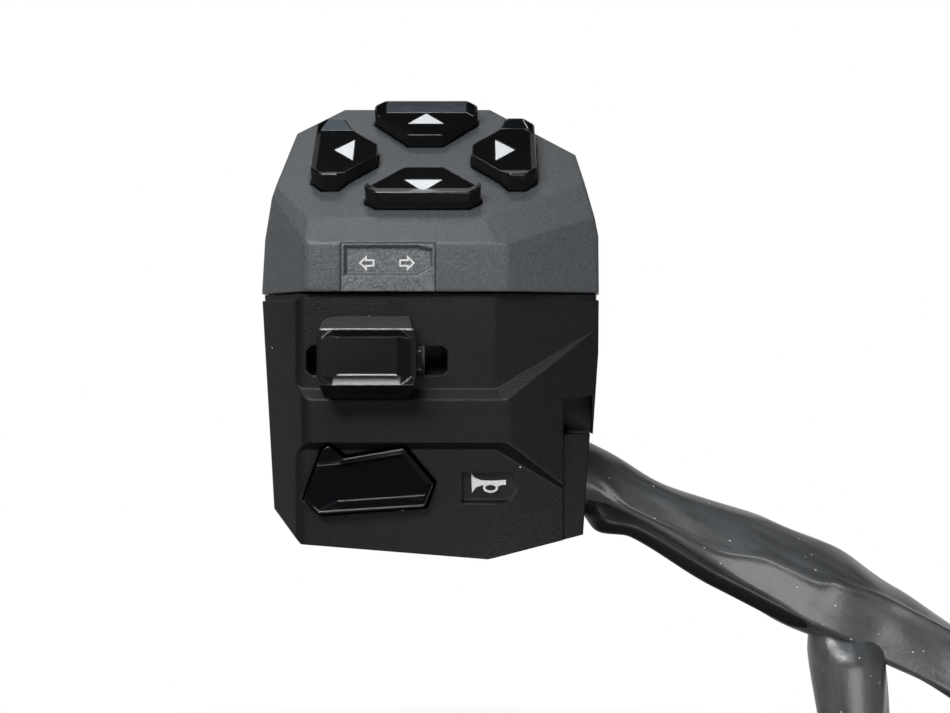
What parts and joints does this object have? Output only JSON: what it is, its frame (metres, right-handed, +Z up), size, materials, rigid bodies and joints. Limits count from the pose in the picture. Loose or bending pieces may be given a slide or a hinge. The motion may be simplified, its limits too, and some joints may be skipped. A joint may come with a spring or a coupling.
{
  "type": "handlebar switch cluster",
  "caption": "Motorcycle handlebar switch cluster: housing that clamps round the bar, cross of menu buttons, turn signal slide with push to cancel, rocking horn button, and a sheathed harness.",
  "frame": {"origin": "centre of the handlebar bore, midway along the housing", "axes": "+X along the handlebar towards the middle of the motorcycle, -Y towards the rider, +Z up"},
  "size_m": [0.203, 0.0607, 0.3217],
  "materials": {
    "case": "fine-grained moulded black",
    "insert": "grained dark grey",
    "print": "flat pale print",
    "button": "polished black",
    "inlay": "flat white",
    "silicone": "translucent grey silicone",
    "board": "solder mask",
    "steel": "zinc plated",
    "spring": "spring steel",
    "brass": "plain",
    "nylon": "natural nylon",
    "grommet": "matte",
    "sheath": "semi-gloss vinyl",
    "tape": "cloth tape",
    "wire": "thin vinyl",
    "connector": "moulded"
  },
  "bodies": {
    "housing": {"upper_case": "case", "lower_case": "case", "turn_icon_insert": "insert", "turn_icon_arrows": "print", "keypad_mat": "silicone", "keypad_board": "board", "board_header": "connector", "board_screws": "steel", "case_screws": "steel", "turn_base_screws": "steel", "horn_bracket_screw": "steel", "horn_pin": "steel", "case_inserts": "brass", "turn_contacts": "brass", "horn_contact": "brass", "turn_spring": "spring", "horn_spring": "spring", "horn_icon": "print", "turn_base": "nylon", "horn_bracket": "nylon", "harness_tie": "nylon", "harness_grommet": "grommet", "harness_main": "sheath", "harness_branch": "sheath", "inner_loom": "sheath", "main_tape": "tape", "branch_tape": "tape", "main_wires": "wire", "branch_wires": "wire", "main_connector": "connector", "branch_connector": "connector", "main_latch": "connector", "branch_latch": "connector"},
    "up_key": {"up_button": "button", "up_arrow": "inlay", "up_dome": "silicone"},
    "down_key": {"down_button": "button", "down_arrow": "inlay", "down_dome": "silicone"},
    "left_key": {"left_button": "button", "left_arrow": "inlay", "left_dome": "silicone"},
    "right_key": {"right_button": "button", "right_arrow": "inlay", "right_dome": "silicone"},
    "turn_slider": {"turn_carriage": "nylon", "turn_bridge": "brass", "cancel_spring": "spring"},
    "turn_thumb": {"turn_knob": "button"},
    "cancel_pin": {"cancel_plunger": "nylon"},
    "horn_rocker": {"horn_button": "button", "horn_rivet": "brass"}
  },
  "joints": [
    {"name": "up_press", "type": "slide", "parent": "housing", "child": "up_key", "axis": [0, 0.6561, -0.7547], "range_m": [0, 0.001], "stiffness_N_per_m": 900, "springref_m": -0.001},
    {"name": "down_press", "type": "slide", "parent": "housing", "child": "down_key", "axis": [0, 0.6561, -0.7547], "range_m": [0, 0.001], "stiffness_N_per_m": 900, "springref_m": -0.001},
    {"name": "left_press", "type": "slide", "parent": "housing", "child": "left_key", "axis": [0, 0.6561, -0.7547], "range_m": [0, 0.001], "stiffness_N_per_m": 900, "springref_m": -0.001},
    {"name": "right_press", "type": "slide", "parent": "housing", "child": "right_key", "axis": [0, 0.6561, -0.7547], "range_m": [0, 0.001], "stiffness_N_per_m": 900, "springref_m": -0.001},
    {"name": "turn_slide", "type": "slide", "parent": "housing", "child": "turn_slider", "axis": [1, 0, 0], "range_m": [-0.0025, 0.0025], "stiffness_N_per_m": 400, "deforming": ["turn_spring"]},
    {"name": "turn_push", "type": "slide", "parent": "turn_slider", "child": "turn_thumb", "axis": [0, 1, 0], "range_m": [0, 0.0012], "stiffness_N_per_m": 700, "springref_m": -0.0008},
    {"name": "cancel_slide", "type": "slide", "parent": "turn_slider", "child": "cancel_pin", "axis": [0, 0, -1], "range_m": [0, 0.0012], "deforming": ["cancel_spring"]},
    {"name": "horn_press", "type": "hinge", "parent": "housing", "child": "horn_rocker", "pos_m": [-0.01195, -0.0264, -0.0266], "axis": [1, 0, 0], "range_deg": [0, 5], "stiffness_Nm_per_rad": 0.17, "springref_deg": -5, "deforming": ["horn_spring"]}
  ],
  "couplings": [
    {"joint": "cancel_slide", "follows": "turn_push", "ratio": 1}
  ]
}
